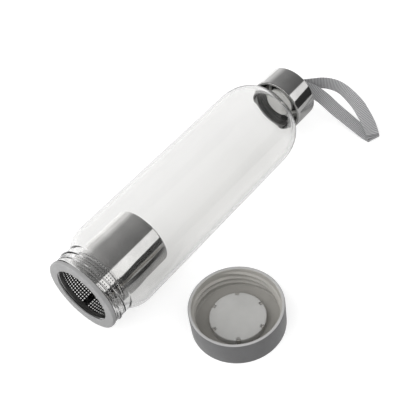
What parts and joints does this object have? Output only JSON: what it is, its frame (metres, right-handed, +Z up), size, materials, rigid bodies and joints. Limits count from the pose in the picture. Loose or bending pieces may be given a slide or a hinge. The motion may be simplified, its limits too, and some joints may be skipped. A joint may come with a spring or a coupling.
{
  "type": "glass tea infuser bottle",
  "caption": "Glass tea bottle lying on its side, with a perforated steel infuser cup in its open base neck, a steel carry cap on a ribbon loop, and its screw base cap taken off beside it.",
  "frame": {"origin": "centre of the base cap's foot, on the floor that the bottle lies on", "axes": "+Z up from the floor, +X along the lying bottle from its base neck towards its top cap, +Y from the base cap towards the bottle"},
  "size_m": [0.2575, 0.1438, 0.065],
  "materials": {
    "clear_glass": "clear, polished",
    "polished_steel": "polished",
    "grey_silicone": "satin",
    "pale_silicone": "satin",
    "grey_plastic": "fine moulded grain",
    "liner_plastic": "satin",
    "grey_ribbon": "ribbed weave"
  },
  "bodies": {
    "bottle": {"glass_bottle": "clear_glass"},
    "infuser": {"infuser_cup": "polished_steel", "infuser_ring": "grey_silicone"},
    "cap_seals": {"neck_seal": "pale_silicone", "plug_pad": "pale_silicone"},
    "top_cap": {"top_cap_shell": "polished_steel", "top_cap_insert": "liner_plastic", "strap_staple": "polished_steel"},
    "strap": {"carry_strap": "grey_ribbon"},
    "base_cap": {"base_cap": "grey_plastic", "base_cap_pad": "pale_silicone"}
  },
  "joints": [
    {"name": "infuser_pull", "type": "slide", "parent": "bottle", "child": "infuser", "axis": [-1, 0, 0], "range_m": [0, 0.066]},
    {"name": "cap_lift", "type": "slide", "parent": "bottle", "child": "cap_seals", "axis": [1, 0, 0], "range_m": [0, 0.0136]},
    {"name": "cap_turn", "type": "hinge", "parent": "cap_seals", "child": "top_cap", "pos_m": [0.16, 0.08, 0.0325], "axis": [1, 0, 0], "range_deg": [0, 1080]},
    {"name": "strap_swing", "type": "hinge", "parent": "top_cap", "child": "strap", "pos_m": [0.17662, 0.08, 0.0325], "axis": [0, 0, 1], "range_deg": [0, 90]},
    {"name": "base_cap_lift", "type": "slide", "parent": "bottle", "child": "base_cap", "axis": [0, 0, 1], "range_m": [0, 0.06]}
  ],
  "couplings": [
    {"joint": "cap_lift", "follows": "cap_turn", "m_per_rad": 0.0007162}
  ]
}
